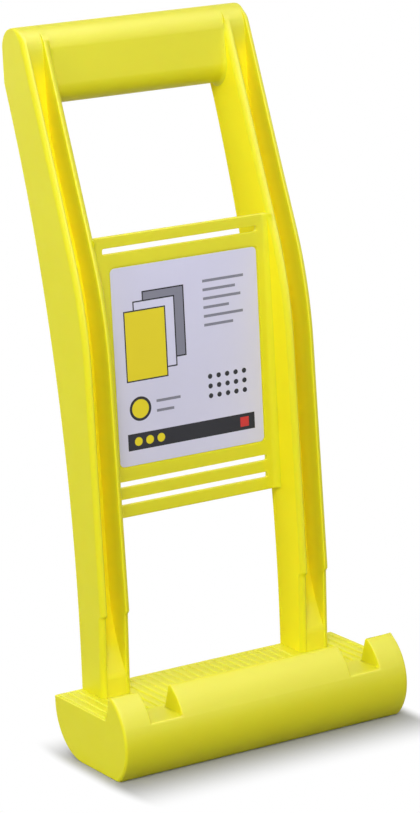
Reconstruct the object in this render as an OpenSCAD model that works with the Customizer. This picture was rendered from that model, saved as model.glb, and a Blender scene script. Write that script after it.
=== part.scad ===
/* [Base] */
// Width of the base, end to end
base_w = 165; // [155:1:190]
// Depth of the base, from its back to the front of its round
base_d = 71; // [69:0.5:80]
// Height of the tread above the floor
tread_h = 29; // [27:0.5:32]
// Radius of the rounded back
back_r = 25; // [18:0.5:26]
// Radius of the rounded front
front_r = 25.6; // [24:0.2:27]
// How far the centre of the rounded front lies below the tread
front_drop = 9.2; // [8:0.2:11]
// Depth of the lip at its foot, back from the front of the round
lip_d = 19.3; // [17:0.1:21]
// Height of the lip above the tread
lip_h = 13; // [8:0.5:13.5]
// Forward lean of the inner face of the lip, in degrees
lip_lean = 20; // [4:1:22]
// Width of each notch through the lip, in front of a leg
notch_w = 17.5; // [15:0.5:20]
// Walls of the base
base_wall = 3; // [2:0.1:4]
// Number of ribs inside the base
base_rib_count = 7; // [3:1:12]
// Thickness of a rib inside the base
base_rib_t = 2.4; // [1.5:0.1:3]

/* [Tread ribs] */
// Spacing of the ribs across the tread
tread_rib_pitch = 5; // [4.5:0.1:8]
// Width of a tread rib at its foot
tread_rib_w = 3.8; // [3.2:0.1:4.2]
// Width of a tread rib along its top
tread_rib_top_w = 2.6; // [1.4:0.1:3]
// Height of a tread rib
tread_rib_h = 0.45; // [0.3:0.05:0.8]

/* [Legs] */
// How far the outer face of a leg lies in from the end of the base, at the handle
leg_inset = 17.6; // [12:0.1:24]
// Width of a leg at the handle
leg_w = 14; // [12:0.1:18]
// How far the outer wall of a leg spreads outwards at the tread
leg_flare = 1.9; // [1:0.1:3]
// Height above the tread at which the outer wall starts to spread
flare_h = 250; // [200:5:280]
// Thickness of the side walls of a leg
leg_wall = 2.6; // [1.8:0.1:3.4]
// Depth of the front channel of a leg
channel_d = 14.5; // [8:0.5:16]
// Thickness of the web between the side walls
web_t = 3; // [2:0.1:4]
// Depth of a leg where the line of its lower front edge meets the tread
leg_low_d = 25.8; // [24.5:0.1:28]
// Backward lean of the lower front edge, in degrees
lower_lean = 1.5; // [0.5:0.5:4]
// Backward lean of the upper front edge, in degrees
upper_lean = 20; // [18:0.5:22]
// Radius of the bend in the front edge
bend_r = 185; // [80:5:200]
// Height at which the curved back edge stands upright
back_arc_h = 54; // [40:1:60]
// Height of the step in the front edge, above the tread
step_h = 43.4; // [30:0.2:55]
// How far the front edge is set back below the step
step_d = 2.2; // [0.5:0.1:2.5]
// Depth of a leg at the tread
foot_d = 21; // [19:0.1:23]
// Height above the tread at which the floor of the channel starts to curve forward
runout_h = 46; // [40:1:56]
// Radius of that curve, which runs out at the front of the foot
runout_r = 90; // [75:5:110]
// Angle at which the curve leaves the floor of the channel, in degrees
runout_lean = 8; // [4:1:12]
// Number of cross ribs behind the web of a leg
leg_rib_count = 6; // [3:1:9]
// Thickness of a cross rib
leg_rib_t = 2.4; // [1.5:0.1:3]

/* [Handle] */
// Overall height
overall_h = 358; // [340:0.2:370]
// Height of the section of the handle
handle_h = 39.2; // [34:0.1:46]
// Depth of the section of the handle
handle_d = 22.4; // [20:0.1:24]
// How far the back of the handle lies behind the back of the base
handle_back = 48.2; // [44:0.1:52]
// Front wall of the handle
handle_wall = 3; // [2:0.1:4]
// Top and bottom wall of the handle
handle_skin = 4; // [3:0.1:5]
// Number of ribs inside the handle
handle_rib_count = 9; // [4:1:14]
// Thickness of a rib inside the handle
handle_rib_t = 2.4; // [1.5:0.1:3]
// Height of the hand opening below the handle
hand_h = 62; // [52:0.1:70]

/* [Plate] */
// Height of the window between the tread and the plate
window_h = 85; // [70:1:95]
// Depth of the front of the plate, from the back of the base
plate_front = 5.9; // [4:0.1:6.5]
// Thickness of the plate
plate_t = 2.5; // [1.5:0.1:3]
// Height of a slot
slot_h = 3; // [2:0.1:4]
// Plate left at each end of a slot
slot_margin = 6.4; // [4:0.1:12]
// Height of the middle of the upper slot below the upper edge of the plate
slot_drop = 7.3; // [5:0.1:9]
// Height of the middle of the lowest slot above the lower edge of the plate
slot_rise = 7.9; // [5:0.1:9]
// Spacing of the two lower slots
slot_pitch = 9; // [6:0.1:10]

/* [Label] */
// Gap between the label and the slots above and below it
label_gap = 7.5; // [4:0.1:12]
// Plate left beside the label on each side, on average
label_margin = 8.8; // [6:0.1:16]
// How far the label sits to the right of the middle
label_shift = 1.3; // [-2:0.1:2]
// Radius of the corners of the label
label_r = 4; // [1:0.5:8]
// Thickness of the label
label_t = 0.2; // [0.1:0.05:0.3]
// Depth of the recess that the label sits in
recess_t = 0.4; // [0.3:0.05:0.6]
// Width of the gap round the label in its recess
recess_gap = 0.8; // [0.4:0.1:2]

/* [Hidden] */
$fn = 96;
long_arc_fn = 1440;
overrun = 1;
// How deep the front edges of the legs run into the round top of the handle
blend_d = 0.1;
plastic_colour = [0.93, 0.88, 0.06];
label_colour = [0.87, 0.87, 0.93];

// Side views are drawn as depth, from the back of the base towards the front, and height
mid_d = (base_d - handle_back) / 2;
front_centre = [base_d - front_r, tread_h - front_drop];
lip_foot = [base_d - lip_d, tread_h];
lip_top = lip_foot + lip_h * [tan(lip_lean), 1];
inner_w = base_w - 2 * base_wall;
leg_out = base_w / 2 - leg_inset;
leg_in = leg_out - leg_w;
leg_mid = leg_out - leg_w / 2;
flare_top = tread_h + flare_h;
foot_w = leg_w + leg_flare;
foot_mid = leg_in + foot_w / 2;
hand_w = 2 * leg_in;
handle_w = 2 * (leg_out - leg_wall);
handle_r = handle_d / 2;
handle_c = handle_r - handle_back;
handle_bottom = overall_h - handle_h;
handle_low = handle_bottom + handle_r;
handle_high = overall_h - handle_r;
plate_low = tread_h + window_h;
plate_high = handle_bottom - hand_h;
slot_w = hand_w - 2 * slot_margin;
slot_heights = [plate_high - slot_drop, plate_low + slot_rise + slot_pitch, plate_low + slot_rise];
label_w = hand_w - 2 * label_margin;
label_h = slot_heights[0] - slot_heights[1] - slot_h - 2 * label_gap;
label_mid = [label_shift, (slot_heights[0] + slot_heights[1]) / 2];

// The upper front line of a leg touches the round top of the handle, and bends into the lower line
function along(angle) = [-sin(angle), cos(angle)];
function square_to(angle) = [cos(angle), sin(angle)];
merge = [handle_c, handle_high] + (handle_r - blend_d) * square_to(upper_lean);
line_gap = merge[0] + (merge[1] - tread_h) * tan(upper_lean) - leg_low_d;
bend_rise = line_gap / (tan(upper_lean) - tan(lower_lean));
bend = [leg_low_d - bend_rise * tan(lower_lean), tread_h + bend_rise];
bend_reach = bend_r * tan((upper_lean - lower_lean) / 2);
bend_start = bend - bend_reach * along(lower_lean);
bend_end = bend + bend_reach * along(upper_lean);
bend_centre = bend_start - bend_r * square_to(lower_lean);
step_top = tread_h + step_h;
step_front = leg_low_d - step_h * tan(lower_lean);

// The floor of the channel runs straight down to the point from which it curves forward
channel_low = [leg_low_d - channel_d, tread_h];
runout_start = channel_low + runout_h * [-tan(lower_lean), 1];
runout_centre = runout_start + runout_r * square_to(runout_lean);

// Points in the front view down a line of a leg: along its outer wall, or along its inner one
function outer_line(inset) = [
    [leg_out - inset, overall_h + overrun],
    [leg_out - inset, flare_top],
    [leg_out + leg_flare - inset, tread_h]
];
function inner_line(inset) = [[leg_in + inset, tread_h], [leg_in + inset, overall_h + overrun]];
function reverse(points) = [for (i = [1 : len(points)]) points[len(points) - i]];

// The curved back edge of a leg runs from the back of the tread to the back of the handle
back_arc_low = tread_h - back_arc_h;
back_arc_high = handle_low - back_arc_h;
back_arc_c = (back_arc_low ^ 2 - back_arc_high ^ 2 - handle_back ^ 2) / (2 * handle_back);
back_arc_r = norm([back_arc_c, back_arc_low]);

// Extrudes a side view across the width, from x to x + w
module across(x, w) {
    translate([x + w, mid_d, 0]) rotate([90, 0, -90]) linear_extrude(height = w) children();
}

// Stands a front view upright, with its front face at the given depth
module upright(front, t) {
    translate([0, mid_d - front + t, 0]) rotate([90, 0, 0]) linear_extrude(height = t) children();
}

// Repeats a side view as ribs of thickness t, evenly spaced over the width w
module rib_row(count, t, w) {
    for (i = [1 : count]) {
        across(w * (i / (count + 1) - 1 / 2) - t / 2, t) children();
    }
}

// The half of a disc on one side of its middle: above or below it, or left or right of it
module half_disc(r, direction) {
    reach = r + overrun;
    intersection() {
        circle(r = r);
        translate(direction * reach) square(2 * reach, center = true);
    }
}

// A level band of the side view, between two heights
module band(low, high) {
    translate([-handle_back - overrun, low]) square([handle_back + base_d + 2 * overrun, high - low]);
}

// Round front of the base
module front_disc(r) {
    translate(front_centre) circle(r = r);
}

// Everything in front of the centre of the round front, between two heights
module front_zone(low, high) {
    translate([front_centre[0], low]) square([front_r + overrun, high - low]);
}

// Side view of the base up to the tread
module base_outline() {
    intersection() {
        translate([back_r, back_r]) circle(r = back_r);
        translate([-overrun, -overrun]) square(back_r + overrun);
    }
    translate([0, back_r]) square([back_r, tread_h - back_r]);
    translate([back_r, 0]) square([front_centre[0] - back_r, tread_h]);
    intersection() {
        front_disc(front_r);
        front_zone(0, tread_h);
    }
}

// Side view of the lip above the tread
module lip_outline() {
    front_end = base_d + overrun;
    intersection() {
        front_disc(front_r);
        polygon([lip_foot, [front_end, lip_foot[1]], [front_end, lip_top[1]], lip_top]);
    }
}

// Side view of the handle: a round top and bottom with upright faces between them
module handle_outline() {
    translate([handle_c, handle_high]) half_disc(handle_r, [0, 1]);
    translate([-handle_back, handle_low]) square([handle_d, handle_high - handle_low]);
    translate([handle_c, handle_low]) half_disc(handle_r, [0, -1]);
}

// Hollow of the handle, open to the back
module handle_hollow() {
    translate([-handle_back - overrun, handle_bottom + handle_skin])
        square([handle_d - handle_wall + overrun, handle_h - 2 * handle_skin]);
}

// The bulge of the bend in front of the chord between its two ends
module bend_bulge() {
    chord = bend_end - bend_start;
    intersection() {
        translate(bend_centre) circle(r = bend_r, $fn = long_arc_fn);
        translate(bend_start) rotate(atan2(chord[1], chord[0])) translate([0, -bend_r])
            square([norm(chord), bend_r + overrun]);
    }
}

// Everything behind the front edge of a leg, with the points of its foot given
module behind_front(foot_points) {
    upper_points = [bend_start, bend_end, merge, [handle_c, handle_high]];
    back_points = [[-handle_back, handle_high], [-handle_back, tread_h]];
    polygon(concat(upper_points, back_points, foot_points));
    bend_bulge();
}

// Everything behind the curved back edge of a leg
module behind_back() {
    translate([back_arc_c, back_arc_h]) circle(r = back_arc_r, $fn = long_arc_fn);
}

// Side view of a leg from the tread to the handle
module leg_outline() {
    difference() {
        behind_front([[foot_d, tread_h], [step_front - step_d, step_top], [step_front, step_top]]);
        behind_back();
    }
}

// Everything behind a line that follows the front edge at a distance
module behind_line(distance) {
    translate([-distance, 0]) behind_front([[leg_low_d, tread_h]]);
}

// Extrudes a side view across one leg and past both its faces
module across_leg(side) {
    span = foot_w + 2 * overrun;
    across(side * foot_mid - span / 2, span) children();
}

// Cuts a front view of one leg, given by its points, through the whole depth of the part
module through_leg(side, points) {
    depth = handle_back + base_d + 2 * overrun;
    upright(base_d + overrun, depth) polygon([for (point = points) [side * point[0], point[1]]]);
}

// Outer wall of a leg, which spreads towards the tread and closes the end of the handle
module outer_wall(side) {
    color(plastic_colour) intersection() {
        across_leg(side) union() {
            leg_outline();
            handle_outline();
        }
        through_leg(side, concat(outer_line(0), reverse(outer_line(leg_wall))));
    }
}

// Inner wall of a leg, which ends under the handle and runs out in front of it
module inner_wall(side) {
    color(plastic_colour) across(side * (leg_in + leg_wall / 2) - leg_wall / 2, leg_wall) difference() {
        leg_outline();
        handle_outline();
        translate([-handle_back - overrun, handle_low - handle_r / 2]) square([handle_r + overrun, handle_h]);
        band(handle_high, overall_h);
    }
}

// Draws a side view between the two walls of one leg
module in_leg(side) {
    intersection() {
        across_leg(side) children();
        through_leg(side, concat(outer_line(leg_wall), inner_line(leg_wall)));
    }
}

// Web between the walls of a leg, from the tread to the handle
module web(side) {
    color(plastic_colour) in_leg(side) difference() {
        intersection() {
            behind_line(channel_d);
            band(tread_h, handle_low);
        }
        behind_line(channel_d + web_t);
        handle_outline();
    }
}

// Ramp that brings the channel of a leg forward to the front of the foot, in a curve
module foot_ramp(side) {
    color(plastic_colour) in_leg(side) difference() {
        polygon([
            channel_low,
            [foot_d, tread_h],
            [step_front - step_d, step_top],
            runout_start + overrun * along(lower_lean)
        ]);
        translate(runout_centre) circle(r = runout_r, $fn = long_arc_fn);
    }
}

// Cross ribs behind the web of a leg
module leg_ribs(side) {
    rib_step = (handle_bottom - tread_h) / (leg_rib_count + 1);
    color(plastic_colour) for (i = [1 : leg_rib_count]) {
        rib_low = tread_h + i * rib_step - leg_rib_t / 2;
        in_leg(side) difference() {
            intersection() {
                behind_line(channel_d + web_t);
                band(rib_low, rib_low + leg_rib_t);
            }
            behind_back();
        }
    }
}

// Handle between the outer walls, open to the back
module handle_bar() {
    color(plastic_colour) across(-handle_w / 2, handle_w) difference() {
        handle_outline();
        handle_hollow();
    }
}

// Ribs that fill the back of the handle
module handle_ribs() {
    color(plastic_colour) rib_row(handle_rib_count, handle_rib_t, handle_w) intersection() {
        handle_outline();
        handle_hollow();
    }
}

// Outline of a slot with round ends, about its middle
module slot_outline(w, h) {
    square([w - h, h], center = true);
    for (side = [-1, 1]) {
        translate([side * (w - h) / 2, 0]) half_disc(h / 2, [side, 0]);
    }
}

// Rectangle with round corners, about its middle
module round_rectangle(w, h, r) {
    square([w, h - 2 * r], center = true);
    for (level = [-1, 1]) {
        translate([0, level * (h - r) / 2]) square([w - 2 * r, r], center = true);
        for (side = [-1, 1]) {
            translate([side * (w / 2 - r), level * (h / 2 - r)]) intersection() {
                half_disc(r, [side, 0]);
                half_disc(r, [0, level]);
            }
        }
    }
}

// Plate between the legs, with its slots and the recess for the label
module label_plate() {
    color(plastic_colour) difference() {
        upright(plate_front, plate_t) difference() {
            translate([-leg_in, plate_low]) square([hand_w, plate_high - plate_low]);
            for (level = slot_heights) {
                translate([0, level]) slot_outline(slot_w, slot_h);
            }
        }
        upright(plate_front + recess_t, 2 * recess_t) translate(label_mid)
            round_rectangle(label_w + 2 * recess_gap, label_h + 2 * recess_gap, label_r + recess_gap);
    }
}

// Label in the recess of the plate
module label() {
    color(label_colour) upright(plate_front - recess_t + label_t, label_t) translate(label_mid)
        round_rectangle(label_w, label_h, label_r);
}

// Top of the base, which the panel stands on
module tread() {
    color(plastic_colour) across(-inner_w / 2, inner_w) intersection() {
        base_outline();
        band(tread_h - base_wall, tread_h);
    }
}

// One raised rib of the tread, at x, from a depth to the foot of the lip
module tread_rib(x, start_d) {
    translate([x, mid_d - start_d, tread_h]) rotate([90, 0, 0]) linear_extrude(height = lip_foot[0] - start_d)
        polygon([
            [-tread_rib_w / 2, 0],
            [tread_rib_w / 2, 0],
            [tread_rib_top_w / 2, tread_rib_h],
            [-tread_rib_top_w / 2, tread_rib_h]
        ]);
}

// Raised ribs of the tread, which stop in front of the legs
module tread_ribs() {
    half_count = floor((base_w - tread_rib_w) / 2 / tread_rib_pitch);
    color(plastic_colour) for (i = [-half_count : half_count]) {
        x = i * tread_rib_pitch;
        meets_leg = abs(abs(x) - foot_mid) < (foot_w + tread_rib_w) / 2;
        tread_rib(x, meets_leg ? foot_d : 0);
    }
}

// Round front wall of the base between its floor and its tread
module front_skin() {
    color(plastic_colour) across(-inner_w / 2, inner_w) difference() {
        intersection() {
            front_disc(front_r);
            front_zone(base_wall, tread_h - base_wall);
        }
        front_disc(front_r - base_wall);
    }
}

// Floor of the base, whose underside is the foot
module base_floor() {
    color(plastic_colour) across(-inner_w / 2, inner_w) intersection() {
        base_outline();
        band(0, base_wall);
    }
}

// Wall that closes one end of the base and its lip
module base_end(side) {
    color(plastic_colour) across(side * (base_w - base_wall) / 2 - base_wall / 2, base_wall) {
        base_outline();
        lip_outline();
    }
}

// Lip between the two notches
module centre_lip() {
    lip_w = 2 * leg_mid - notch_w;
    color(plastic_colour) across(-lip_w / 2, lip_w) lip_outline();
}

// Lip between one notch and the end of the base
module lug(side) {
    lug_w = inner_w / 2 - leg_mid - notch_w / 2;
    color(plastic_colour) across(side * (inner_w - lug_w) / 2 - lug_w / 2, lug_w) lip_outline();
}

// Ribs inside the base, which carry the tread and round off its back
module base_ribs() {
    color(plastic_colour) rib_row(base_rib_count, base_rib_t, inner_w) difference() {
        intersection() {
            base_outline();
            band(base_wall, tread_h - base_wall);
        }
        difference() {
            front_zone(0, tread_h);
            front_disc(front_r - base_wall);
        }
    }
}

handle_bar();
handle_ribs();
outer_wall(-1);  // left_outer_wall
outer_wall(1);  // right_outer_wall
inner_wall(-1);  // left_inner_wall
inner_wall(1);  // right_inner_wall
web(-1);  // left_web
web(1);  // right_web
foot_ramp(-1);  // left_foot_ramp
foot_ramp(1);  // right_foot_ramp
leg_ribs(-1);  // left_leg_ribs
leg_ribs(1);  // right_leg_ribs
label_plate();
label();
tread();
tread_ribs();
front_skin();
base_floor();
base_end(-1);  // left_end
base_end(1);  // right_end
centre_lip();
lug(-1);  // left_lug
lug(1);  // right_lug
base_ribs();
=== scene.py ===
import math

import bmesh
import bpy
from mathutils import Matrix, Vector


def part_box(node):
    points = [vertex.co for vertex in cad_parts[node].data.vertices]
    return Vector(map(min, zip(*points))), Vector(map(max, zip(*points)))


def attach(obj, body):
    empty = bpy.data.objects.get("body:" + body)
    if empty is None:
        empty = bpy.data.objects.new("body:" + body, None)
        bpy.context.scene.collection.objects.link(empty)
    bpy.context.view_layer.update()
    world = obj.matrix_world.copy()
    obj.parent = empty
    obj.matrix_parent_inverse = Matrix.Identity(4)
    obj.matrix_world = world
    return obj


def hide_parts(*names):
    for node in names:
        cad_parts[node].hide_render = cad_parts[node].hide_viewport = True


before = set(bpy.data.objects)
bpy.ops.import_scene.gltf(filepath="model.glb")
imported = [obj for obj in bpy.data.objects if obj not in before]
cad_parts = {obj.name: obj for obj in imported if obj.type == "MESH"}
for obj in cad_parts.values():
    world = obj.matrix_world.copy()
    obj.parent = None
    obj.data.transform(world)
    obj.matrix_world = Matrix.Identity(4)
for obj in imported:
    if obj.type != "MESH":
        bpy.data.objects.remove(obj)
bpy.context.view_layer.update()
print("frame loaded,", len(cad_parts), "solids")

# Places read from the solids.
# Depth runs forward from the back of the base, height up from the floor.
endLow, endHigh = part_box("right_end")
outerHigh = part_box("right_outer_wall")[1]
innerLow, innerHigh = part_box("right_inner_wall")
barLow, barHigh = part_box("handle_bar")
plateLow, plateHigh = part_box("label_plate")
labelLow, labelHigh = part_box("label")
backY = endHigh.y
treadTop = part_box("tread")[1].z
gripFront = backY - barLow.y
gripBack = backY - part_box("handle_ribs")[1].y
gripRound = (gripFront - gripBack) / 2
gripMid = (gripFront + gripBack) / 2
gripHigh = barHigh.z - gripRound
gripLow = barLow.z + gripRound
legIn = innerLow.x
legWall = innerHigh.x - innerLow.x
legOut = barHigh.x + legWall  # at the handle
legFlare = outerHigh.x - legOut  # what the outer wall spreads by at the tread

sideAxis = Vector((-1, 0, 0))  # arcs in a side view turn from forward to up
faceAxis = Vector((0, -1, 0))  # arcs in a front view turn from right to up
mergeGap = 0.00002
shadeLimit = math.radians(38)  # edges sharper than this stay sharp in the shading


def at(depth, height, x=0.0):
    return Vector((x, backY - depth, height))


def depthOf(co):
    return backY - co.y


# Smooth step, and the fall of a rounded edge at some way in from it
def ramp(value):
    value = min(1, max(0, value))
    return value * value * (3 - 2 * value)


def drop(inward, across, deep):
    share = min(1, max(0, 1 - inward / across))
    return deep * (1 - math.sqrt(1 - share**2))


# Drawing and finishing, used by every piece
def drawLine(bm, vert, to, steps=1):
    start = vert.co.copy()
    for step in range(1, steps + 1):
        vert = bmesh.ops.extrude_vert_indiv(bm, verts=[vert])["verts"][0]
        vert.co = start.lerp(to, step / steps)
    return vert


def drawArc(bm, vert, centre, angle, steps, axis=sideAxis):
    made = bmesh.ops.spin(bm, geom=[vert], cent=centre, axis=axis, angle=angle, steps=steps)
    return [item for item in made["geom_last"] if isinstance(item, bmesh.types.BMVert)][0]


def closeOutline(bm, last, first):
    bm.edges.new((last, first))
    return bmesh.ops.contextual_create(bm, geom=bm.edges[:])["faces"][0]


def drawRoundRect(bm, low, high, radius, y, steps=6):
    before = set(bm.edges)
    corners = [
        (high.x - radius, low.z + radius, high.x, high.z - radius),
        (high.x - radius, high.z - radius, low.x + radius, high.z),
        (low.x + radius, high.z - radius, low.x, low.z + radius),
        (low.x + radius, low.z + radius, high.x - radius, low.z),
    ]
    vert = bm.verts.new((high.x - radius, y, low.z))
    for centreX, centreZ, nextX, nextZ in corners:
        vert = drawArc(bm, vert, Vector((centreX, y, centreZ)), math.pi / 2, steps, faceAxis)
        vert = drawLine(bm, vert, Vector((nextX, y, nextZ)))
    bmesh.ops.remove_doubles(bm, verts=bm.verts, dist=mergeGap)
    return [edge for edge in bm.edges if edge not in before]


def pull(bm, faces, vector):
    made = bmesh.ops.extrude_face_region(bm, geom=faces)["geom"]
    verts = [item for item in made if isinstance(item, bmesh.types.BMVert)]
    bmesh.ops.translate(bm, verts=verts, vec=vector)
    return verts


def push(bm, faces, vector=Vector()):
    verts = pull(bm, faces, vector)
    bmesh.ops.delete(bm, geom=faces, context="FACES")
    return verts


def cut(bm, place, normal):
    geom = bm.verts[:] + bm.edges[:] + bm.faces[:]
    bmesh.ops.bisect_plane(bm, geom=geom, dist=mergeGap, plane_co=place, plane_no=normal)


def cutAcross(bm, *places):
    for x in places:
        cut(bm, Vector((x, 0, 0)), Vector((1, 0, 0)))


def cutLevel(bm, *heights):
    for height in heights:
        cut(bm, Vector((0, 0, height)), Vector((0, 0, 1)))


# Cuts that let both ends of a piece swell in a curve to meet the legs
def cutFillets(bm, radius, steps):
    for side in (-1, 1):
        for step in range(steps):
            reach = radius * (1 - math.sin(math.pi / 2 * step / steps))
            cutAcross(bm, side * (legIn - reach))


def sharpEdges(bm, degrees=25):
    limit = math.radians(degrees)
    return [edge for edge in bm.edges if edge.is_manifold and edge.calc_face_angle() > limit]


def roundEdges(bm, edges, radius, segments):
    bmesh.ops.bevel(
        bm, geom=edges, offset=radius, affect="EDGES", segments=segments, profile=0.5, material=-1
    )


# Hollows open to the back
def openPocket(bm, lowX, highX, lowZ, highZ, floorAt, deepest):
    faces = []
    for face in bm.faces:
        centre = face.calc_center_median()
        inside = lowX < centre.x < highX and lowZ < centre.z < highZ
        if inside and depthOf(centre) < deepest(centre.z):
            faces.append(face)
    for vert in push(bm, faces):
        vert.co.y = backY - floorAt(vert.co.z)


def roundMouths(bm, outside, radius):
    mouth = []
    for edge in sharpEdges(bm):
        kinds = [face in outside for face in edge.link_faces]
        if kinds[0] != kinds[1]:
            mouth.append(edge)
    roundEdges(bm, mouth, radius, 2)


def finishPiece(bm, name, nodes, material):
    bmesh.ops.remove_doubles(bm, verts=bm.verts, dist=mergeGap)
    bmesh.ops.recalc_face_normals(bm, faces=bm.faces)
    openEdges = sum(not edge.is_manifold for edge in bm.edges)
    mesh = bpy.data.meshes.new(name)
    bm.to_mesh(mesh)
    bm.free()
    mesh.shade_smooth()
    mesh.set_sharp_from_angle(angle=shadeLimit)
    mesh.materials.append(material)
    piece = bpy.data.objects.new(name, mesh)
    bpy.context.scene.collection.objects.link(piece)
    weights = piece.modifiers.new("weights", "WEIGHTED_NORMAL")
    weights.keep_sharp = True
    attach(piece, "root")
    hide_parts(*nodes)
    print(name, "made,", len(mesh.polygons), "faces,", openEdges, "open edges")
    return piece


# Shader sockets that take part in sums
class Socket:
    def __init__(self, tree, link=None):
        self.tree = tree
        self.link = link

    def node(self, kind, settings=None, inputs=None, output=0):
        made = self.tree.nodes.new(kind)
        for name, value in (settings or {}).items():
            setattr(made, name, value)
        for name, value in (inputs or {}).items():
            if isinstance(value, Socket):
                self.tree.links.new(value.link, made.inputs[name])
            else:
                made.inputs[name].default_value = value
        return Socket(self.tree, made.outputs[output] if made.outputs else None)

    def math(self, operation, first, second=0.0):
        return self.node("ShaderNodeMath", {"operation": operation}, {0: first, 1: second})

    def __add__(self, other):
        return self.math("ADD", self, other)

    def __radd__(self, other):
        return self.math("ADD", other, self)

    def __sub__(self, other):
        return self.math("SUBTRACT", self, other)

    def __rsub__(self, other):
        return self.math("SUBTRACT", other, self)

    def __mul__(self, other):
        return self.math("MULTIPLY", self, other)

    def __rmul__(self, other):
        return self.math("MULTIPLY", other, self)

    def __lt__(self, other):
        return self.math("LESS_THAN", self, other)

    def __gt__(self, other):
        return self.math("GREATER_THAN", self, other)

    def __abs__(self):
        return self.math("ABSOLUTE", self)

    def mix(self, first, second):
        settings = {"data_type": "RGBA"}
        return self.node("ShaderNodeMix", settings, {0: self, 6: first, 7: second}, output=2)


def newMaterial(name):
    material = bpy.data.materials.new(name)
    material.use_nodes = True
    material.node_tree.nodes.clear()
    return material, Socket(material.node_tree)


def noise(sheet, place, scale, detail):
    inputs = {"Vector": place, "Scale": scale, "Detail": detail}
    return sheet.node("ShaderNodeTexNoise", None, inputs)


def plainSurface(sheet, settings):
    surface = sheet.node("ShaderNodeBsdfPrincipled", None, settings)
    sheet.node("ShaderNodeOutputMaterial", None, {"Surface": surface})


# Lemon yellow plastic, satin from the mould, with a painted glow in the channels
plastic = {
    "lemon": (0.71, 0.676, 0.009, 1),
    "deepLemon": (0.685, 0.641, 0.007, 1),
    # painted glow: a brighter amber colour in the channels, standing in for light through the
    # walls and bounced between them
    "paintedGlowColour": (0.98, 0.84, 0.001, 1),  # in a channel, in place of light through its walls
    "roughness": 0.5,
    "flowRoughness": 0.12,
    "grainRoughness": 0.06,
    "channelRoughness": 1.2,  # a channel has no sheen
    "ior": 1.5,
    "gloss": 0.22,
    "glow": 0.4,  # light that spreads under the surface
    "glowReach": (1.0, 0.7, 0.05),
    "glowScale": 0.0025,
    "cloudScale": 14,
    "flowScale": 112,
    "grainScale": 1500,
    "grainHeight": 0.00003,
    "grainStrength": 0.5,
}


def makePlastic():
    material, sheet = newMaterial("lemonPlastic")
    place = sheet.node("ShaderNodeTexCoord", output="Object")
    cloud = noise(sheet, place, plastic["cloudScale"], 4)
    grain = noise(sheet, place, plastic["grainScale"], 2)
    flow = noise(sheet, place, plastic["flowScale"], 3)
    # This attribute marks the channels. There the colour turns amber, a painted glow standing in
    # for light through the walls and bounced light, and the roughness rises.
    paintedGlow = sheet.node("ShaderNodeAttribute", {"attribute_name": "paintedGlow"}, output="Fac")
    colour = paintedGlow.mix(cloud.mix(plastic["lemon"], plastic["deepLemon"]), plastic["paintedGlowColour"])
    roughness = plastic["roughness"] + (flow - 0.5) * plastic["flowRoughness"]
    roughness += (grain - 0.5) * plastic["grainRoughness"] + paintedGlow * plastic["channelRoughness"]
    bump = sheet.node("ShaderNodeBump", None, {
        "Height": grain, "Distance": plastic["grainHeight"], "Strength": plastic["grainStrength"],
    })
    plainSurface(sheet, {
        "Base Color": colour, "Roughness": roughness, "Normal": bump, "IOR": plastic["ior"],
        "Specular IOR Level": plastic["gloss"], "Subsurface Weight": plastic["glow"],
        "Subsurface Radius": plastic["glowReach"], "Subsurface Scale": plastic["glowScale"],
    })
    return material


yellowPlastic = makePlastic()


# Base: tread, round front, lip in three lengths, hollow at the back
base = {
    "frontRound": 0.0256,
    "frontDrop": 0.0092,  # middle of the round front, below the tread
    "backRound": 0.025,
    "lipSteps": 12,  # steps of the outline's arcs
    "frontSteps": 22,
    "footSteps": 8,
    "backSteps": 16,
    "lipDepth": 0.0193,
    "lipLean": math.radians(20),
    "lipTopDepth": 0.0579,  # edges of the ends in front of this are round
    "frontEdge": 0.0015,
    "lipRound": 0.00084,
    "endRound": 0.0005,
    "mouthRound": 0.0005,
    "mouthDepth": 0.0225,  # the back's faces lie behind this
    "pocketLow": 0.003,
    "pocketHigh": 0.026,
    "pocketDepth": 0.05,
    "ribs": 7,
    "ribThickness": 0.0024,
    "endWall": 0.003,
    "nodes": (
        "tread", "front_skin", "base_floor", "left_end", "right_end",
        "centre_lip", "left_lug", "right_lug", "base_ribs",
    ),
}
baseHalf = endHigh.x
baseDepth = backY - endLow.y
lipTop = endHigh.z
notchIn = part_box("centre_lip")[1].x
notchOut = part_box("right_lug")[0].x


def drawBase(bm):
    radius = base["frontRound"]
    middleDepth, middleHeight = baseDepth - radius, treadTop - base["frontDrop"]
    middle = at(middleDepth, middleHeight, -baseHalf)
    lipAngle = math.asin((lipTop - middleHeight) / radius)
    treadAngle = math.asin(base["frontDrop"] / radius)
    floorAngle = -math.asin(middleHeight / radius)
    footDepth = baseDepth - base["lipDepth"]
    topDepth = footDepth + (lipTop - treadTop) * math.tan(base["lipLean"])
    back = base["backRound"]
    backCentre = at(back, back, -baseHalf)
    pocketAngle = math.acos((back - base["pocketLow"]) / back)
    first = bm.verts.new(at(0, treadTop, -baseHalf))
    vert = drawLine(bm, first, at(footDepth, treadTop, -baseHalf))
    vert = drawLine(bm, vert, at(topDepth, lipTop, -baseHalf))
    vert = drawLine(bm, vert, at(middleDepth + radius * math.cos(lipAngle), lipTop, -baseHalf))
    vert = drawArc(bm, vert, middle, treadAngle - lipAngle, base["lipSteps"])
    vert = drawArc(bm, vert, middle, floorAngle - treadAngle, base["frontSteps"])
    vert = drawLine(bm, vert, at(back, 0, -baseHalf))
    vert = drawArc(bm, vert, backCentre, -pocketAngle, base["footSteps"])
    vert = drawArc(bm, vert, backCentre, pocketAngle - math.pi / 2, base["backSteps"])
    vert = drawLine(bm, vert, at(0, base["pocketHigh"], -baseHalf))
    return closeOutline(bm, vert, first)


def isAcross(edge, x):
    return all(abs(vert.co.x - x) < mergeGap for vert in edge.verts)


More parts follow.
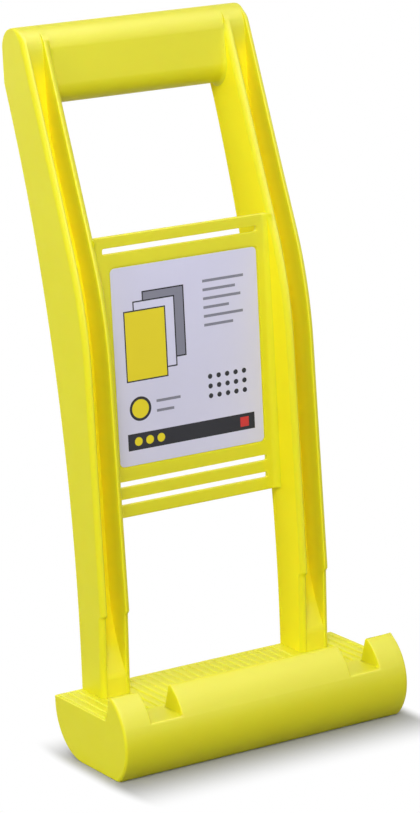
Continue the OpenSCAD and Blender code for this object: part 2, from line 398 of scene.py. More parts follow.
def cutNotch(bm, lowX, highX):
    cutAcross(bm, lowX, highX)
    lipFaces = []
    for face in bm.faces:
        centre = face.calc_center_median()
        if lowX < centre.x < highX and centre.z > treadTop + mergeGap:
            lipFaces.append(face)
    bmesh.ops.delete(bm, geom=lipFaces, context="FACES")
    rim = [edge for edge in bm.edges if edge.is_boundary]
    floorRim = []
    for x in (lowX, highX):
        sideRim = [edge for edge in rim if isAcross(edge, x)]
        sideVerts = {vert for edge in sideRim for vert in edge.verts}
        ends = [vert for vert in sideVerts if vert.co.z < treadTop + mergeGap]
        sill = bm.edges.new(sorted(ends, key=lambda vert: depthOf(vert.co)))
        bmesh.ops.contextual_create(bm, geom=sideRim + [sill])
        floorRim.append(sill)
        rim = [edge for edge in rim if edge not in sideRim]
    bmesh.ops.contextual_create(bm, geom=floorRim + rim)


def roundBase(bm):
    lipEdges, frontEdges = [], []
    for edge in sharpEdges(bm):
        atEnd = all(abs(vert.co.x) > baseHalf - mergeGap for vert in edge.verts)
        onLip = all(vert.co.z > treadTop - mergeGap for vert in edge.verts)
        raised = edge.verts[0].co.z + edge.verts[1].co.z > mergeGap
        deep = min(depthOf(vert.co) for vert in edge.verts)
        if atEnd and raised and deep > base["lipTopDepth"]:
            frontEdges.append(edge)
        elif onLip and not atEnd and deep > base["backRound"]:
            lipEdges.append(edge)
    roundEdges(bm, frontEdges, base["frontEdge"], 5)
    roundEdges(bm, [edge for edge in lipEdges if edge.is_valid], base["lipRound"], 4)
    roundEdges(bm, sharpEdges(bm), base["endRound"], 3)


def makeBase():
    bm = bmesh.new()
    pull(bm, [drawBase(bm)], Vector((2 * baseHalf, 0, 0)))
    bmesh.ops.recalc_face_normals(bm, faces=bm.faces)
    cutNotch(bm, notchIn, notchOut)
    cutNotch(bm, -notchOut, -notchIn)
    bmesh.ops.recalc_face_normals(bm, faces=bm.faces)
    roundBase(bm)
    innerHalf = baseHalf - base["endWall"]
    bay = 2 * innerHalf / (base["ribs"] + 1)
    half = base["ribThickness"] / 2
    bays = []
    for index in range(base["ribs"] + 1):
        lowX = -innerHalf + bay * index + (half if index else 0)
        highX = -innerHalf + bay * (index + 1) - (half if index < base["ribs"] else 0)
        bays.append((lowX, highX))
        cutAcross(bm, lowX, highX)
    outside = set(bm.faces)
    for lowX, highX in bays:
        openPocket(
            bm, lowX, highX, base["pocketLow"], base["pocketHigh"],
            lambda height: base["pocketDepth"], lambda height: base["mouthDepth"],
        )
    roundMouths(bm, outside, base["mouthRound"])
    return finishPiece(bm, "base", base["nodes"], yellowPlastic)


makeBase()


# Low flat ribs along the tread, from its back edge to the lip
treadRibs = {
    "pitch": 0.005,
    "width": 0.0034,
    "topWidth": 0.0022,
    "height": 0.0006,
    "edgeRound": 0.00025,
    "taper": 0.003,  # slope at each end of a rib
    "frontGap": 0.001,  # to the foot of the lip
    "backGap": 0.0006,
    "legDepth": 0.0205,  # ribs in front of a leg start just inside its foot
    "bury": 0.0003,
}


def addRib(bm, x, ribBack, ribFront):
    half, topHalf = treadRibs["width"] / 2, treadRibs["topWidth"] / 2
    low, high = treadTop - treadRibs["bury"], treadTop + treadRibs["height"]
    made = bmesh.ops.create_cube(bm, size=1)["verts"]
    for vert in made:
        top = vert.co.z > 0
        atBack = vert.co.y > 0
        slope = treadRibs["taper"] if top else 0
        vert.co.x = x + math.copysign(topHalf if top else half, vert.co.x)
        vert.co.y = ribBack - slope if atBack else ribFront + slope
        vert.co.z = high if top else low
    edges = dict.fromkeys(edge for vert in made for edge in vert.link_edges)
    ridge = [edge for edge in edges if all(vert.co.z > treadTop for vert in edge.verts)]
    roundEdges(bm, ridge, treadRibs["edgeRound"], 2)


def makeTreadRibs():
    bm = bmesh.new()
    ribLow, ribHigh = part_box("tread_ribs")
    ribFront = ribLow.y + treadRibs["frontGap"]
    ribBack = ribHigh.y - treadRibs["backGap"]
    legFront = at(treadRibs["legDepth"], 0).y
    half = treadRibs["width"] / 2
    count = round((ribHigh.x - half) / treadRibs["pitch"])
    for index in range(-count, count + 1):
        x = index * treadRibs["pitch"]
        underLeg = legIn - half < abs(x) < outerHigh.x + half
        addRib(bm, x, legFront if underLeg else ribBack, ribFront)
    return finishPiece(bm, "treadRibs", ["tread_ribs"], yellowPlastic)


makeTreadRibs()


# Handle bar, round above and below, hollow at the back
handle = {
    "roundSteps": 36,
    "skin": 0.004,
    "wall": 0.003,
    "ribs": 9,
    "ribThickness": 0.0024,
    "mouthRound": 0.0005,
    "endFillet": 0.0035,  # below the bar and low on its front
    "topFillet": 0.0004,
    "filletSteps": 8,
    "filletFade": math.radians(45),  # turn over which a fillet runs out, above and below
    "nodes": ("handle_bar", "handle_ribs"),
}


def gripFace(height, inset=0.0):
    radius = gripRound - inset
    away = max(height - gripHigh, gripLow - height, 0)
    return gripMid + math.sqrt(radius**2 - away**2) if away < radius else gripMid


def gripPocket(height):
    return gripFace(height, handle["wall"])


def drawGrip(bm, x):
    first = bm.verts.new(at(gripFront, gripLow, x))
    vert = drawLine(bm, first, at(gripFront, gripHigh, x))
    vert = drawArc(bm, vert, at(gripMid, gripHigh, x), math.pi, handle["roundSteps"])
    vert = drawLine(bm, vert, at(gripBack, gripLow, x))
    vert = drawArc(bm, vert, at(gripMid, gripLow, x), math.pi, handle["roundSteps"])
    bmesh.ops.remove_doubles(bm, verts=bm.verts, dist=mergeGap)
    return bmesh.ops.contextual_create(bm, geom=bm.edges[:])["faces"][0]


def curveGrip(bm):
    cutFillets(bm, handle["endFillet"], handle["filletSteps"])
    fade = handle["filletFade"]
    for vert in bm.verts:
        middle = at(gripMid, min(gripHigh, max(gripLow, vert.co.z)), vert.co.x)
        outward = vert.co - middle
        turn = math.atan2(outward.z, -outward.y)
        inReach = -math.pi / 2 - fade < turn < math.pi / 2
        if outward.length > gripRound - mergeGap and inReach:
            upper = ramp((vert.co.z - gripLow) / (gripHigh - gripLow))
            radius = handle["endFillet"] + (handle["topFillet"] - handle["endFillet"]) * upper
            radius *= 1 - ramp((-turn - math.pi / 2) / fade) - ramp(turn / fade)
            if radius > mergeGap:
                rise = drop(max(0, legIn - abs(vert.co.x)), radius, radius)
                vert.co += outward.normalized() * rise


def makeHandle():
    bm = bmesh.new()
    pull(bm, [drawGrip(bm, -legIn)], Vector((2 * legIn, 0, 0)))
    bmesh.ops.recalc_face_normals(bm, faces=bm.faces)
    mouthLow, mouthHigh = barLow.z + handle["skin"], barHigh.z - handle["skin"]
    cutLevel(bm, mouthLow, mouthHigh)
    step = 2 * barHigh.x / (handle["ribs"] + 1)
    half = handle["ribThickness"] / 2
    bays = []
    for index in range(handle["ribs"] - 1):
        middle = (index - (handle["ribs"] - 1) / 2) * step
        bays.append((middle + half, middle + step - half))
        cutAcross(bm, *bays[-1])
    outside = set(bm.faces)
    for lowX, highX in bays:
        openPocket(bm, lowX, highX, mouthLow, mouthHigh, gripPocket, lambda height: gripMid)
    roundMouths(bm, outside, handle["mouthRound"])
    curveGrip(bm)
    return finishPiece(bm, "handleBar", handle["nodes"], yellowPlastic)


makeHandle()


# Legs: two walls and a web, open to the front, with ribs across the back
leg = {
    "frontDepth": 0.0258,  # of the walls, at the tread
    "proud": 0.0012,  # what the rounded fronts stand forward of the solid's sharp edges
    "lowerLean": math.radians(1.5),
    "upperLean": math.radians(20),
    "bendRadius": 0.185,
    "backArcHeight": 0.054,
    "flareHeight": 0.25,
    "footDepth": 0.021,
    "stepHeight": 0.0434,
    "stepDepth": 0.0015,
    "ledge": 0.002,  # height of the slope between foot and wall
    "footSteps": 18,  # steps of the outline, from the foot up the front and down the back
    "ledgeSteps": 3,
    "lowerSteps": 16,
    "bendSteps": 16,
    "upperSteps": 48,
    "gripSteps": 32,
    "behindSteps": 2,
    "backSteps": 48,
    "channelDepth": 0.0145,
    "webThickness": 0.003,
    "runoutHeight": 0.046,
    "runoutRadius": 0.09,
    "runoutLean": math.radians(8),
    "runoutSink": 0.0003,  # floor of the channel behind the front of the foot
    "gripBlend": 0.006,  # ease between the front of the handle and the channel
    "proudTurn": math.radians(32),  # turn round the handle over which the fronts sink in
    "channelTurn": math.radians(55),  # how far round the handle the channel goes
    "backTurn": math.radians(70),  # turn over which the edge gets as fine as at the back
    "ribs": 6,
    "ribThickness": 0.0024,
    "roundAcross": 0.0021,  # round on the open side of a wall's front edge
    "roundDeep": 0.0032,
    "roundCuts": (20, 40, 60, 75, 90),  # degrees
    "channelRound": 0.0005,
    "channelCuts": (30, 60, 90),
    "backRound": 0.0005,
    "near": 0.0002,  # a vertex this close to an edge is on it
    "bury": 0.0005,
    "innerSwell": (0.0006, 0.0012),  # wall's gain towards the front, at the foot and handle
    "outerSwell": 0.0005,
    "paintedGlowLow": 0.012,  # above the tread, where the channel's painted glow starts
    "paintedGlowFade": 0.03,
    "paintedGlowDepth": 0.009,
    "footPaintedGlow": 0.25,
    "innerPaintedGlow": 0.5,  # painted glow on the face towards the other leg
    "paintedGlowEdge": 0.00288,  # behind the front, where the painted glow of that face ends
    "nodes": ("outer_wall", "inner_wall", "web", "foot_ramp", "leg_ribs"),
}
lowTan, highTan = math.tan(leg["lowerLean"]), math.tan(leg["upperLean"])
lineDepth = leg["frontDepth"] + leg["proud"]
mergeRound = gripRound + leg["proud"]
mergeDepth = gripMid + mergeRound * math.cos(leg["upperLean"])
mergeHeight = gripHigh + mergeRound * math.sin(leg["upperLean"])
bendHeight = mergeDepth + mergeHeight * highTan - lineDepth - treadTop * lowTan
bendHeight /= highTan - lowTan
bendDepth = lineDepth - (bendHeight - treadTop) * lowTan
bendReach = leg["bendRadius"] * math.tan((leg["upperLean"] - leg["lowerLean"]) / 2)
bendStart = (
    bendDepth + bendReach * math.sin(leg["lowerLean"]),
    bendHeight - bendReach * math.cos(leg["lowerLean"]),
)
bendEnd = (
    bendDepth - bendReach * math.sin(leg["upperLean"]),
    bendHeight + bendReach * math.cos(leg["upperLean"]),
)
bendMiddle = (
    bendStart[0] - leg["bendRadius"] * math.cos(leg["lowerLean"]),
    bendStart[1] - leg["bendRadius"] * math.sin(leg["lowerLean"]),
)
backHeight = leg["backArcHeight"]
backMiddle = gripBack**2 + (gripLow - backHeight) ** 2 - (treadTop - backHeight) ** 2
backMiddle /= 2 * gripBack
backRadius = math.hypot(backMiddle, treadTop - backHeight)
stepTop = treadTop + leg["stepHeight"]
flareTop = treadTop + leg["flareHeight"]
runoutTop = treadTop + leg["runoutHeight"]


def frontAt(height):
    if height <= bendStart[1]:
        return lineDepth - (height - treadTop) * lowTan
    if height >= bendEnd[1]:
        return mergeDepth + (mergeHeight - height) * highTan
    return bendMiddle[0] + math.sqrt(leg["bendRadius"] ** 2 - (height - bendMiddle[1]) ** 2)


def footAt(height):
    share = (height - treadTop) / leg["stepHeight"]
    top = frontAt(stepTop) - leg["stepDepth"]
    return leg["footDepth"] + leg["proud"] + (top - leg["footDepth"] - leg["proud"]) * share


def edgeAt(height):
    ledge = stepTop - leg["ledge"]
    if height <= ledge:
        return footAt(height)
    share = (height - ledge) / leg["ledge"]
    if share >= 1:
        return frontAt(height)
    return footAt(ledge) + (frontAt(stepTop) - footAt(ledge)) * share


def backAt(height):
    if height >= gripLow:
        return gripBack
    return backMiddle + math.sqrt(backRadius**2 - (height - backHeight) ** 2)


def channelFloor(height):
    floor = frontAt(height) - leg["proud"] - leg["channelDepth"]
    grip = gripFace(height) if height > gripHigh else gripFront
    ease = max(0, leg["gripBlend"] - abs(floor - grip))
    floor = max(floor, grip) + ease**2 / (4 * leg["gripBlend"])
    if height < runoutTop:
        start = frontAt(runoutTop) - leg["proud"] - leg["channelDepth"]
        radius, lean = leg["runoutRadius"], leg["runoutLean"]
        away = runoutTop + radius * math.sin(lean) - height
        floor = max(floor, start + radius * math.cos(lean) - math.sqrt(radius**2 - away**2))
    return min(floor, edgeAt(height) - leg["runoutSink"])


def webBack(height):
    return channelFloor(height) - leg["webThickness"]


def drawLeg(bm, x):
    low = treadTop - leg["bury"]
    first = bm.verts.new(at(footAt(low), low, x))
    ledge = stepTop - leg["ledge"]
    vert = drawLine(bm, first, at(footAt(ledge), ledge, x), leg["footSteps"])
    vert = drawLine(bm, vert, at(frontAt(stepTop), stepTop, x), leg["ledgeSteps"])
    vert = drawLine(bm, vert, at(*bendStart, x), leg["lowerSteps"])
    turn = leg["upperLean"] - leg["lowerLean"]
    vert = drawArc(bm, vert, at(*bendMiddle, x), turn, leg["bendSteps"])
    vert = drawLine(bm, vert, at(mergeDepth, mergeHeight, x), leg["upperSteps"])
    before = set(bm.verts)
    turn = math.pi - leg["upperLean"]
    vert = drawArc(bm, vert, at(gripMid, gripHigh, x), turn, leg["gripSteps"])
    for made in set(bm.verts) - before:
        settleOnGrip(made, leg["proud"])
    vert = drawLine(bm, vert, at(gripBack, gripLow, x), leg["behindSteps"])
    topAngle = math.asin((gripLow - backHeight) / backRadius)
    sweep = math.asin((treadTop - backHeight) / backRadius) - topAngle
    vert = drawArc(bm, vert, at(backMiddle, backHeight, x), sweep, leg["backSteps"])
    vert = drawLine(bm, vert, at(0, low, x))
    return closeOutline(bm, vert, first)


def gripAngle(co):
    return math.atan2(co.z - gripHigh, depthOf(co) - gripMid)


# The front edge runs out on the round top of the handle
def settleOnGrip(vert, proud):
    angle = gripAngle(vert.co)
    radius = gripRound + proud * (1 - ramp((angle - leg["upperLean"]) / leg["proudTurn"]))
    depth, height = gripMid + radius * math.cos(angle), gripHigh + radius * math.sin(angle)
    vert.co = at(depth, height, vert.co.x)


def roundCuts(radius, angles):
    return [radius * (1 - math.cos(math.radians(angle))) for angle in angles]


def easeEdges(bm):
    openCuts = roundCuts(leg["roundAcross"], leg["roundCuts"])
    channelCuts = roundCuts(leg["channelRound"], leg["channelCuts"])
    for face, inward in ((legIn, 1), (legOut, -1)):
        for offset in openCuts + [legWall - offset for offset in channelCuts]:
            cutAcross(bm, face + inward * offset)
        for vert in bm.verts:
            offset = (vert.co.x - face) * inward
            if -mergeGap < offset < legWall + mergeGap:
                easeVert(vert, max(0, offset), inward < 0)


def easeVert(vert, offset, outerWall):
    depth, height, near = depthOf(vert.co), vert.co.z, leg["near"]
    if height < mergeHeight - near and abs(depth - edgeAt(height)) < near:
        lean = leg["upperLean"] if height > bendHeight else leg["lowerLean"]
        fade = min(1, (edgeAt(height) - channelFloor(height)) / leg["channelRound"])
        back = drop(offset, leg["roundAcross"], leg["roundDeep"])
        back += fade * drop(legWall - offset, leg["channelRound"], leg["channelRound"])
        if height > gripLow and not outerWall:
            back = min(back, max(0, depth - gripFace(height)))
        vert.co += at(-back * math.cos(lean), -back * math.sin(lean)) - at(0, 0)
    elif height >= gripHigh - near and outerWall:
        turn = ramp((gripAngle(vert.co) - leg["upperLean"]) / leg["backTurn"])
        deep = leg["roundDeep"] + (leg["backRound"] - leg["roundDeep"]) * turn
        middle = at(gripMid, gripHigh, vert.co.x)
        vert.co += (middle - vert.co).normalized() * drop(offset, leg["roundAcross"], deep)
    elif abs(depth - backAt(height)) < near:
        ease = 1 if outerWall else ramp((barLow.z - height) / gripRound)
        vert.co.y -= ease * drop(offset, leg["backRound"], leg["backRound"])


def sinkChannel(bm):
    faces = []
    for face in bm.faces:
        centre = face.calc_center_median()
        middle = legIn + legWall < centre.x < legOut - legWall
        floor = gripMid if centre.z > gripHigh else channelFloor(centre.z) - mergeGap
        if middle and depthOf(centre) > floor and gripAngle(centre) < leg["channelTurn"]:
            faces.append(face)
    for vert in push(bm, faces):
        if vert.co.z > mergeHeight - mergeGap:
            settleOnGrip(vert, 0.0)
        else:
            vert.co.y = backY - min(channelFloor(vert.co.z), depthOf(vert.co))


# Share of the painted glow, an amber colour standing in for light through the walls and bounced
# light, which is full deep in the channel
def paintedGlowAt(x, depth, height, front):
    if legIn + legWall - mergeGap < x < legOut - legWall + mergeGap:
        low = ramp((height - treadTop - leg["paintedGlowLow"]) / leg["paintedGlowFade"])
        high = ramp((barHigh.z - height) / leg["paintedGlowFade"])
        deep = ramp((front - depth) / leg["paintedGlowDepth"])
        return max(deep * low * high, leg["footPaintedGlow"] * (1 - low))
    if x < legIn + mergeGap and depth < front - leg["paintedGlowEdge"]:
        return leg["innerPaintedGlow"]
    return 0.0


# The walls thicken towards the front, and the outer one flares towards the tread; each vertex
# also gets its share of the painted glow
def spreadWalls(bm):
    paintedGlow = bm.verts.layers.float.new("paintedGlow")
    middle = (legIn + legOut) / 2
    footSwell, gripSwell = leg["innerSwell"]
    for vert in bm.verts:
        x, depth, height = vert.co.x, depthOf(vert.co), vert.co.z
        front = gripFront if height > gripHigh else edgeAt(height)
        forward = ramp((depth - backAt(height)) / (front - backAt(height)))
        below = ramp((barHigh.z - height) / gripRound)
        # share of the painted glow: amber colour standing in for light, not a colour of the
        # plastic
        vert[paintedGlow] = paintedGlowAt(x, depth, height, front)
        if x < middle:
            rise = ramp((height - plateLow.z) / (barLow.z - plateLow.z))
            swell = footSwell + (gripSwell - footSwell) * rise
            inward = max(0, 1 - (x - legIn) / legWall)
            vert.co.x -= swell * forward * inward * below
        else:
            outward = max(0, 1 - (legOut - x) / legWall)
            vert.co.x += leg["outerSwell"] * forward * outward * below
            vert.co.x += legFlare * max(0, flareTop - height) / leg["flareHeight"]


def makeLeg(name, word, side):
    bm = bmesh.new()
    pull(bm, [drawLeg(bm, legIn)], Vector((legOut - legIn, 0, 0)))
    bmesh.ops.recalc_face_normals(bm, faces=bm.faces)
    bayHeight = (barLow.z - treadTop) / (leg["ribs"] + 1)
    half = leg["ribThickness"] / 2
    bays = []
    for index in range(leg["ribs"] + 1):
        low = treadTop + bayHeight * index + (half if index else 0)
        high = treadTop + bayHeight * (index + 1) - (half if index < leg["ribs"] else 0)
        bays.append((low, high, webBack))
    bays.append((barLow.z + handle["skin"], barHigh.z - handle["skin"], gripPocket))
    cutLevel(bm, stepTop, flareTop)
    for low, high, floorAt in bays:
        cutLevel(bm, low, high)
    inX, outX = legIn + legWall, legOut - legWall
    cutAcross(bm, inX, outX)
    sinkChannel(bm)
    for low, high, floorAt in bays:
        openPocket(bm, inX, outX, low, high, floorAt, lambda height: backAt(height) + half)
    bmesh.ops.remove_doubles(bm, verts=bm.verts, dist=mergeGap)
    easeEdges(bm)
    spreadWalls(bm)
    bmesh.ops.scale(bm, vec=Vector((side, 1, 1)), verts=bm.verts)
    nodes = [word + "_" + node for node in leg["nodes"]]
    return finishPiece(bm, name, nodes, yellowPlastic)


makeLeg("rightLeg", "right", 1)
makeLeg("leftLeg", "left", -1)


# Plate between the legs: three slots and a shallow bed for the label
plate = {
    "slotHeight": 0.003,
    "slotMargin": 0.0064,
    "slotDrop": 0.0073,
    "slotRise": 0.0079,
    "slotPitch": 0.009,
    "slotCorner": 0.0009,
    "slotRound": 0.0003,
    "slotReach": 1.1,  # edges within this share of a slot's half height are its own
    "bedGap": 0.0008,
    "bedDepth": 0.0004,
    "bedRound": 0.003,
    "bury": 0.0003,
    "cornerFillet": 0.004,
    "filletSteps": 9,
    "edgeRound": 0.0006,
    "sharpAngle": 60,
}


def drawPlate(bm, y):
    reach = plateHigh.x + plate["bury"]
    first = bm.verts.new((-reach, y, plateLow.z))
    vert = drawLine(bm, first, Vector((reach, y, plateLow.z)))
    vert = drawLine(bm, vert, Vector((reach, y, plateHigh.z)))
    vert = drawLine(bm, vert, Vector((-reach, y, plateHigh.z)))
    bm.edges.new((vert, first))


def makePlate():
    bm = bmesh.new()
    y = plateLow.y
    drawPlate(bm, y)
    slotHalf = plate["slotHeight"] / 2
    slotEnd = plateHigh.x - plate["slotMargin"]
    lowSlot = plateLow.z + plate["slotRise"]
    slots = (plateHigh.z - plate["slotDrop"], lowSlot, lowSlot + plate["slotPitch"])
    for height in slots:
        low = Vector((-slotEnd, 0, height - slotHalf))
        high = Vector((slotEnd, 0, height + slotHalf))
        drawRoundRect(bm, low, high, plate["slotCorner"], y)
    gap = Vector((plate["bedGap"], 0, plate["bedGap"]))
    bedRim = drawRoundRect(bm, labelLow - gap, labelHigh + gap, plate["bedRound"], y)
    bmesh.ops.triangle_fill(bm, edges=bm.edges[:], use_beauty=True, use_dissolve=False)
    bed = bmesh.ops.contextual_create(bm, geom=bedRim)["faces"]
    pull(bm, bm.faces[:], Vector((0, plateHigh.y - y, 0)))
    bmesh.ops.recalc_face_normals(bm, faces=bm.faces)
    bed = [face for face in bed if face.is_valid]
    front = [face for face in bed if abs(face.calc_center_median().y - y) < mergeGap]
    push(bm, front, Vector((0, plate["bedDepth"], 0)))
    slotEdges, rimEdges = [], []
    for edge in sharpEdges(bm, plate["sharpAngle"]):
        middle = (edge.verts[0].co + edge.verts[1].co) / 2
        along = abs(edge.verts[0].co.y - edge.verts[1].co.y) < mergeGap
        reach = slotHalf * plate["slotReach"]
        if along and any(abs(middle.z - height) < reach for height in slots):
            slotEdges.append(edge)
        elif along and (middle.z > plateHigh.z - mergeGap or middle.z < plateLow.z + mergeGap):
            rimEdges.append(edge)
    roundEdges(bm, slotEdges, plate["slotRound"], 2)
    roundEdges(bm, rimEdges, plate["edgeRound"], 3)
    curveEnds(bm)
    return finishPiece(bm, "plate", ["label_plate"], yellowPlastic)


def curveEnds(bm):
    radius = plate["cornerFillet"]
    cutFillets(bm, radius, plate["filletSteps"])
    middle = (plateLow.y + plateHigh.y) / 2
    for vert in bm.verts:
        if vert.co.y < middle:
            vert.co.y -= drop(max(0, legIn - abs(vert.co.x)), radius, radius)


makePlate()


# Label: thin film with plain blocks and rules in place of print
label = {
    "cornerRound": 0.0024,
    "cornerSteps": 10,
    "edgeRound": 0.00006,
    "film": (0.63, 0.62, 0.80, 1),
    "worn": (0.60, 0.59, 0.76, 1),
    "mottleScale": 60,
    "roughness": 0.42,
    "mottleRoughness": 0.1,
    "ior": 1.45,
    "gloss": 0.25,
    "ink": (0.012, 0.012, 0.018, 1),
    "grey": (0.20, 0.20, 0.26, 1),
    "yellow": (0.75, 0.62, 0.011, 1),
    "red": (0.55, 0.03, 0.03, 1),
    "sheets": ((-0.013, 0.019), (-0.0185, 0.0145), (-0.024, 0.010)),
    "sheetSize": (0.024, 0.036),
    "line": 0.0007,
    "rules": (0.024, 0.019, 0.022, 0.015, 0.023, 0.017),
    "ruleLeft": 0.010,
    "ruleTop": 0.037,
    "rulePitch": 0.0045,
    "ruleHeight": 0.0014,
    "dotRows": 3,
    "dotColumns": 5,
    "dotPlace": (0.012, -0.012),
    "dotPitch": 0.005,
    "dotRadius": 0.0013,
    "strip": (0.0, -0.0385, 0.074, 0.0085),
    "stripDots": (-0.031, -0.0245, -0.018),
    "stripDotRadius": 0.0022,
    "stripBlock": (0.031, -0.0385, 0.005, 0.005),
    "ring": (-0.029, -0.022, 0.0062),
    "ringRules": ((0.4, 0.014), (-0.4, 0.010)),  # height in radii, and length
    "ringRuleLeft": 1.5,  # in radii
}


def makeLabelFilm():
    material, sheet = newMaterial("labelFilm")
    middle = (labelLow + labelHigh) / 2
    place = sheet.node("ShaderNodeTexCoord", output="Object")
    split = {"Vector": place}
    across = sheet.node("ShaderNodeSeparateXYZ", None, split, output="X") - middle.x
    up = sheet.node("ShaderNodeSeparateXYZ", None, split, output="Z") - middle.z
    mottle = noise(sheet, place, label["mottleScale"], 3)

    def block(x, z, width, height):
        return (abs(across - x) < width / 2) * (abs(up - z) < height / 2)

    def disc(x, z, radius):
        wide, tall = across - x, up - z
        return (wide * wide + tall * tall) < radius**2

    colour = mottle.mix(label["film"], label["worn"])
    width, height = label["sheetSize"]
    inset = 2 * label["line"]
    fills = (label["grey"], label["film"], label["yellow"])
    for (x, z), fill in zip(label["sheets"], fills):
        colour = block(x, z, width, height).mix(colour, label["ink"])
        colour = block(x, z, width - inset, height - inset).mix(colour, fill)
    for index, length in enumerate(label["rules"]):
        x = label["ruleLeft"] + length / 2
        z = label["ruleTop"] - label["rulePitch"] * index
        colour = block(x, z, length, label["ruleHeight"]).mix(colour, label["grey"])
    for row in range(label["dotRows"]):
        for column in range(label["dotColumns"]):
            x = label["dotPlace"][0] + label["dotPitch"] * column
            z = label["dotPlace"][1] - label["dotPitch"] * row
            colour = disc(x, z, label["dotRadius"]).mix(colour, label["ink"])
    colour = block(*label["strip"]).mix(colour, label["ink"])
    for x in label["stripDots"]:
        dot = disc(x, label["strip"][1], label["stripDotRadius"])
        colour = dot.mix(colour, label["yellow"])
    colour = block(*label["stripBlock"]).mix(colour, label["red"])
    x, z, radius = label["ring"]
    colour = disc(x, z, radius).mix(colour, label["ink"])
    colour = disc(x, z, radius - inset).mix(colour, label["yellow"])
    for rise, length in label["ringRules"]:
        ruleX = x + label["ringRuleLeft"] * radius + length / 2
        rule = block(ruleX, z + radius * rise, length, label["ruleHeight"])
        colour = rule.mix(colour, label["grey"])
    roughness = label["roughness"] + (mottle - 0.5) * label["mottleRoughness"]
    plainSurface(sheet, {
        "Base Color": colour, "Roughness": roughness, "IOR": label["ior"],
        "Specular IOR Level": label["gloss"],
    })
    return material


def makeLabel():
    bm = bmesh.new()
    radius, steps = label["cornerRound"], label["cornerSteps"]
    rim = drawRoundRect(bm, labelLow, labelHigh, radius, labelLow.y, steps)
    face = bmesh.ops.contextual_create(bm, geom=rim)["faces"][0]
    pull(bm, [face], Vector((0, labelHigh.y - labelLow.y, 0)))
    front = []
    for edge in bm.edges:
        if all(abs(vert.co.y - labelLow.y) < mergeGap / 4 for vert in edge.verts):
            front.append(edge)
    roundEdges(bm, front, label["edgeRound"], 2)
    return finishPiece(bm, "label", ["label"], makeLabelFilm())


makeLabel()


# Grey floor that fades to white for the camera, the grey round the foot being a painted shadow
# that the lamps' real shadow also falls on, white surroundings and soft lamps
studio = {
    "floorHalf": 6.0,
    # grey of the floor near the foot, which the camera sees as a painted shadow round it; the
    # same grey bounces light everywhere
    "floor": (0.36, 0.36, 0.36, 1),
    "white": (1, 1, 1, 1),
    "sideFade": 0.010,  # reach over which the painted shadow on the floor turns white, beside the foot
    "frontFade": 0.046,  # and in front of it and behind it
    "ambient": 0.37,
    "lamps": (  # name, place, size, power, and whether it shows only in the gloss
        ("key", (-0.486, -0.913, 1.048), 0.7, 13.4, False),
        ("left", (-1.7, -0.3, 0.6), 0.8, 11.0, False),
        ("right", (1.7, 0.3, 0.8), 1.2, 11.0, False),
        ("back", (-0.1, 1.75, 0.65), 1.4, 16.0, False),
        ("sheenHigh", (0.1, -0.4, 1.75), 1.4, 105.0, True),
        ("sheenLow", (0.3, -1.32, 0.9), 1.4, 45.0, True),
    ),
}

# Where the flat foot of the base meets the floor
footBack = base["backRound"]
footFront = baseDepth - base["frontRound"] + math.sqrt(
    base["frontRound"] ** 2 - (treadTop - base["frontDrop"]) ** 2
)


def isSeen(sheet):
    camera = sheet.node("ShaderNodeLightPath", output="Is Camera Ray")
    glossy = sheet.node("ShaderNodeLightPath", output="Is Glossy Ray")
    through = sheet.node("ShaderNodeLightPath", output="Is Transmission Ray")
    return sheet.math("MAXIMUM", camera, sheet.math("MAXIMUM", glossy, through))


def makeFloor():
    bm = bmesh.new()
    bmesh.ops.create_grid(bm, x_segments=1, y_segments=1, size=studio["floorHalf"])
    mesh = bpy.data.meshes.new("floor")
    bm.to_mesh(mesh)
    bm.free()
    floor = bpy.data.objects.new("floor", mesh)
    bpy.context.scene.collection.objects.link(floor)
    material, sheet = newMaterial("floorWithPaintedShadow")
    place = sheet.node("ShaderNodeTexCoord", output="Object")
    across = sheet.node("ShaderNodeSeparateXYZ", None, {"Vector": place}, output="X")
    along = sheet.node("ShaderNodeSeparateXYZ", None, {"Vector": place}, output="Y")
    middle, half = backY - (footBack + footFront) / 2, (footFront - footBack) / 2
    sideways = sheet.math("MAXIMUM", abs(across) - baseHalf, 0.0) * (1 / studio["sideFade"])
    outwards = sheet.math("MAXIMUM", abs(along - middle) - half, 0.0) * (1 / studio["frontFade"])
    away = sheet.math("SQRT", sideways * sideways + outwards * outwards)
    smooth = {"interpolation_type": "SMOOTHSTEP"}
    # near the foot the camera sees the grey lit floor, a painted shadow with the real shadow on
    # it, turning white farther out
    spread = sheet.node("ShaderNodeMapRange", smooth, {0: away, 1: 0.0, 2: 1.0})
    lit = sheet.node("ShaderNodeBsdfDiffuse", None, {"Color": studio["floor"]})
    white = sheet.node("ShaderNodeEmission", None, {"Color": studio["white"], "Strength": 1})
    both = sheet.node("ShaderNodeMixShader", None, {0: isSeen(sheet) * spread, 1: lit, 2: white})
    sheet.node("ShaderNodeOutputMaterial", None, {"Surface": both})
    mesh.materials.append(material)


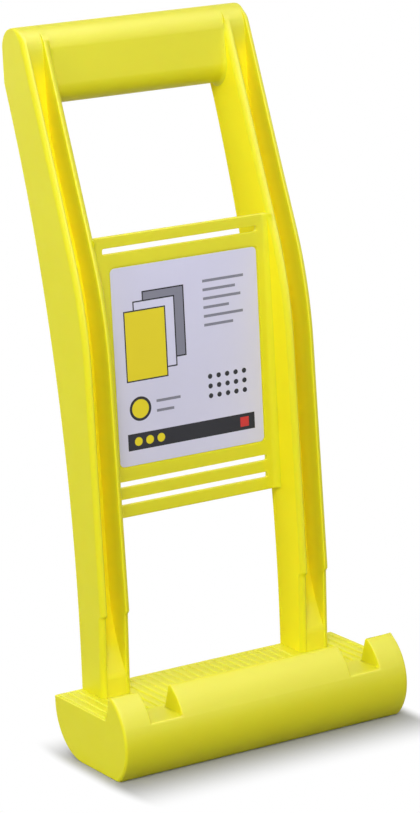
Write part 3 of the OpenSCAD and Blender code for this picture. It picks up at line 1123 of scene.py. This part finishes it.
def makeSky():
    world = bpy.data.worlds.new("surroundings")
    bpy.context.scene.world = world
    world.use_nodes = True
    world.node_tree.nodes.clear()
    sheet = Socket(world.node_tree)
    strength = studio["ambient"] + isSeen(sheet) * (1 - studio["ambient"])
    inputs = {"Color": studio["white"], "Strength": strength}
    sky = sheet.node("ShaderNodeBackground", None, inputs)
    sheet.node("ShaderNodeOutputWorld", None, {"Surface": sky})


def makeLamps():
    middle = Vector((0, 0, barHigh.z / 2))
    for name, place, size, power, sheenOnly in studio["lamps"]:
        lamp = bpy.data.lights.new(name, "AREA")
        lamp.size = size
        lamp.energy = power
        lampObject = bpy.data.objects.new(name, lamp)
        lampObject.location = place
        lampObject.visible_diffuse = not sheenOnly
        aim = (middle - Vector(place)).to_track_quat("-Z", "Y")
        lampObject.rotation_euler = aim.to_euler()
        bpy.context.scene.collection.objects.link(lampObject)
    print("studio lit with", len(studio["lamps"]), "lamps")


makeFloor()
makeSky()
makeLamps()


# Camera as the photograph has it
view = {
    "place": (-0.80669, -1.3842, 0.54353),
    "azimuth": math.radians(30.51),
    "elevation": math.radians(13.28),
    "roll": math.radians(-2.79),
    "lens": 145.84,
    "clipEnd": 50,
}


def makeCamera():
    turn, fall, roll = view["azimuth"], view["elevation"], view["roll"]
    level = Vector((math.sin(turn), math.cos(turn), 0))
    forward = level * math.cos(fall) - Vector((0, 0, math.sin(fall)))
    right = Vector((math.cos(turn), -math.sin(turn), 0))
    up = right.cross(forward)
    rolledRight = math.cos(roll) * right + math.sin(roll) * up
    rolledUp = math.cos(roll) * up - math.sin(roll) * right
    camera = bpy.data.cameras.new("camera")
    camera.lens = view["lens"]
    camera.clip_end = view["clipEnd"]
    cameraObject = bpy.data.objects.new("camera", camera)
    rotation = Matrix((rolledRight, rolledUp, -forward)).transposed().to_4x4()
    cameraObject.matrix_world = Matrix.Translation(Vector(view["place"])) @ rotation
    bpy.context.scene.collection.objects.link(cameraObject)
    bpy.context.scene.camera = cameraObject
    print("camera placed, lens", view["lens"])


makeCamera()
bpy.context.scene.view_settings.view_transform = "Standard"
